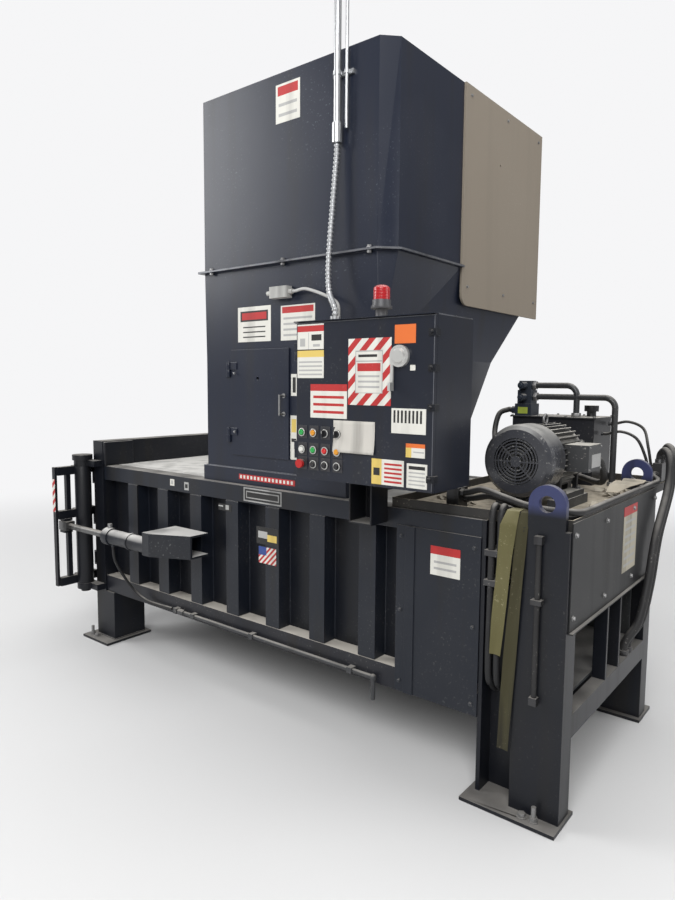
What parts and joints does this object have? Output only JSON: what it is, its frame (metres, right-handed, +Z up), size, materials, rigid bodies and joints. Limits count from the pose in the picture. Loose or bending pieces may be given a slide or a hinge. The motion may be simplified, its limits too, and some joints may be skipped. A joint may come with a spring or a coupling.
{
  "type": "recycling baler",
  "caption": "Closed-door horizontal baler: ribbed press chamber on floor plates, flared top hopper, door with side latch, electrical box and hydraulic power unit on a rear deck.",
  "frame": {"origin": "on the floor, at the centre of the rectangle of the four anchor holes", "axes": "+X along the chamber from the bale door to the power unit, -Y towards the operator's side with the electrical box, +Z up"},
  "size_m": [3.4812, 2.031, 3.567],
  "materials": {
    "machine_paint": "dusty semi-gloss",
    "enclosure_paint": "satin",
    "cover_paint": "worn",
    "zinc_steel": "dull",
    "polished_rod": "polished",
    "board": "matt",
    "device_metal": "satin",
    "black_plastic": "matt",
    "red_plastic": "gloss",
    "grey_plastic": "matt",
    "hose_rubber": "matt",
    "motor_iron": "dusty paint",
    "motor_sheet": "dusty"
  },
  "bodies": {
    "frame": {"chamber_floor": "machine_paint", "floor_bearers": "machine_paint", "chamber_roof": "machine_paint", "wall_near": "machine_paint", "wall_far": "machine_paint", "side_ribs": "machine_paint", "top_rails": "machine_paint", "bottom_rails": "machine_paint", "portal_frame": "machine_paint", "rear_frame": "machine_paint", "levelling_bolts": "zinc_steel", "side_panel": "machine_paint", "rear_cover": "cover_paint", "deck_tray": "cover_paint", "hopper_curb": "machine_paint", "hopper_chute": "machine_paint", "hopper_box": "machine_paint", "flange_bolts": "zinc_steel", "hopper_board": "board", "access_hinge": "machine_paint", "enclosure_box": "enclosure_paint", "enclosure_bracket": "machine_paint", "beacon_base": "black_plastic", "beacon_lens": "red_plastic", "rigid_conduit": "zinc_steel", "flex_conduit": "zinc_steel", "switch_box": "grey_plastic", "switch_cable": "grey_plastic", "floor_pipe": "motor_sheet", "hose_fittings": "zinc_steel", "rear_hoses": "hose_rubber", "deck_hoses": "hose_rubber", "motor_body": "motor_iron", "fan_cowl": "motor_sheet", "pump": "motor_iron", "oil_tank": "machine_paint", "valve_stack": "motor_iron", "pressure_pipes": "motor_sheet", "door_pins": "machine_paint", "latch_pivot": "machine_paint", "lock_cylinder": "machine_paint", "ram_cylinder": "machine_paint"},
    "enclosure_door": {"enclosure_door": "enclosure_paint", "door_clamps": "zinc_steel", "button_bezels": "device_metal"},
    "access_door": {"access_door": "machine_paint", "access_pull": "machine_paint"},
    "bale_door": {"bale_door": "machine_paint"},
    "latch": {"latch_frame": "machine_paint"},
    "lock_rod": {"lock_rod": "polished_rod"},
    "ram": {"ram_carriage": "machine_paint"},
    "ram_sleeve": {"ram_sleeve": "polished_rod"},
    "stop_button": {"stop_button": "red_plastic"},
    "button_left": {"button_left": "black_plastic"},
    "button_middle": {"button_middle": "black_plastic"},
    "button_right": {"button_right": "black_plastic"},
    "selector_left": {"selector_left": "black_plastic"},
    "selector_right": {"selector_right": "black_plastic"},
    "disconnect": {"disconnect_handle": "device_metal"},
    "fan": {"motor_fan": "motor_sheet"}
  },
  "joints": [
    {"name": "ram_stroke", "type": "slide", "parent": "frame", "child": "ram", "axis": [-1, 0, 0], "range_m": [0, 1.1]},
    {"name": "ram_sleeve_stroke", "type": "slide", "parent": "frame", "child": "ram_sleeve", "axis": [-1, 0, 0], "range_m": [0, 0.572]},
    {"name": "bale_door_hinge", "type": "hinge", "parent": "frame", "child": "bale_door", "pos_m": [-1.64, 0.68, 0.8], "axis": [0, 0, 1], "range_deg": [-110, 0]},
    {"name": "latch_hinge", "type": "hinge", "parent": "frame", "child": "latch", "pos_m": [-1.64, -0.68, 0.8], "axis": [0, 0, 1], "range_deg": [0, 40]},
    {"name": "lock_rod_slide", "type": "slide", "parent": "frame", "child": "lock_rod", "axis": [1, 0, 0], "range_m": [0, 0.0794]},
    {"name": "access_door_hinge", "type": "hinge", "parent": "frame", "child": "access_door", "pos_m": [-0.282, -0.573, 1.65], "axis": [0, 0, 1], "range_deg": [-120, 0]},
    {"name": "enclosure_door_hinge", "type": "hinge", "parent": "frame", "child": "enclosure_door", "pos_m": [0.488, -0.856, 1.688], "axis": [0, 0, 1], "range_deg": [-110, 0]},
    {"name": "disconnect_turn", "type": "hinge", "parent": "enclosure_door", "child": "disconnect", "pos_m": [1.064, -0.8685, 1.88], "axis": [0, 1, 0], "range_deg": [0, 90]},
    {"name": "stop_button_press", "type": "slide", "parent": "enclosure_door", "child": "stop_button", "axis": [0, 1, 0], "range_m": [0, 0.005]},
    {"name": "button_left_press", "type": "slide", "parent": "enclosure_door", "child": "button_left", "axis": [0, 1, 0], "range_m": [0, 0.005], "stiffness_N_per_m": 400},
    {"name": "button_middle_press", "type": "slide", "parent": "enclosure_door", "child": "button_middle", "axis": [0, 1, 0], "range_m": [0, 0.005], "stiffness_N_per_m": 400},
    {"name": "button_right_press", "type": "slide", "parent": "enclosure_door", "child": "button_right", "axis": [0, 1, 0], "range_m": [0, 0.005], "stiffness_N_per_m": 400},
    {"name": "selector_left_turn", "type": "hinge", "parent": "enclosure_door", "child": "selector_left", "pos_m": [0.674, -0.8685, 1.548], "axis": [0, 1, 0], "range_deg": [-45, 45]},
    {"name": "selector_right_turn", "type": "hinge", "parent": "enclosure_door", "child": "selector_right", "pos_m": [0.743, -0.8685, 1.548], "axis": [0, 1, 0], "range_deg": [-45, 45]},
    {"name": "motor_spin", "type": "hinge", "parent": "frame", "child": "fan", "pos_m": [1.35, -0.3, 1.433], "axis": [0, 1, 0], "continuous": true}
  ],
  "couplings": [
    {"joint": "ram_sleeve_stroke", "follows": "ram_stroke", "ratio": 0.52},
    {"joint": "lock_rod_slide", "follows": "latch_hinge", "m_per_rad": 0.11366}
  ]
}
